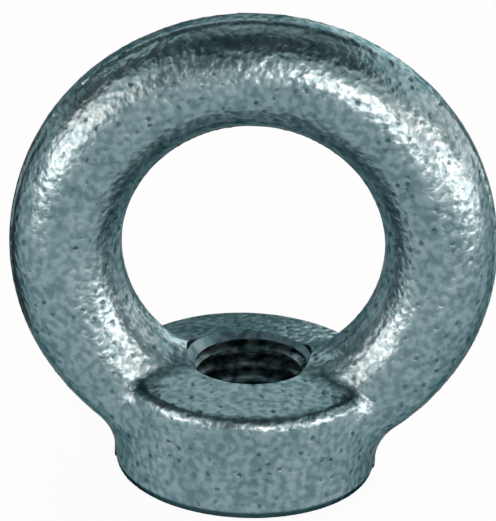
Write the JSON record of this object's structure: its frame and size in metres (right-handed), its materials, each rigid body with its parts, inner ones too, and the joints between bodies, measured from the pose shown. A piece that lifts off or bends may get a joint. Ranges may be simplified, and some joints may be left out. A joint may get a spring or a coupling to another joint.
{
  "type": "lifting eye nut",
  "caption": "Drop-forged lifting eye nut: a round ring standing on a round collar with a threaded hole right through it, zinc-plated steel.",
  "frame": {"origin": "centre of the contact face at the bottom of the collar, on the thread axis", "axes": "+Z along the thread axis from the contact face towards the ring; the ring stands in the XZ plane, so +Y runs through the eye"},
  "size_m": [0.063, 0.0342, 0.0625],
  "materials": {
    "zinc_plated_steel": "bright zinc plating over a shot-blasted forged skin, satin and finely mottled"
  },
  "bodies": {
    "root": {"eye_nut": "zinc_plated_steel"}
  },
  "joints": []
}
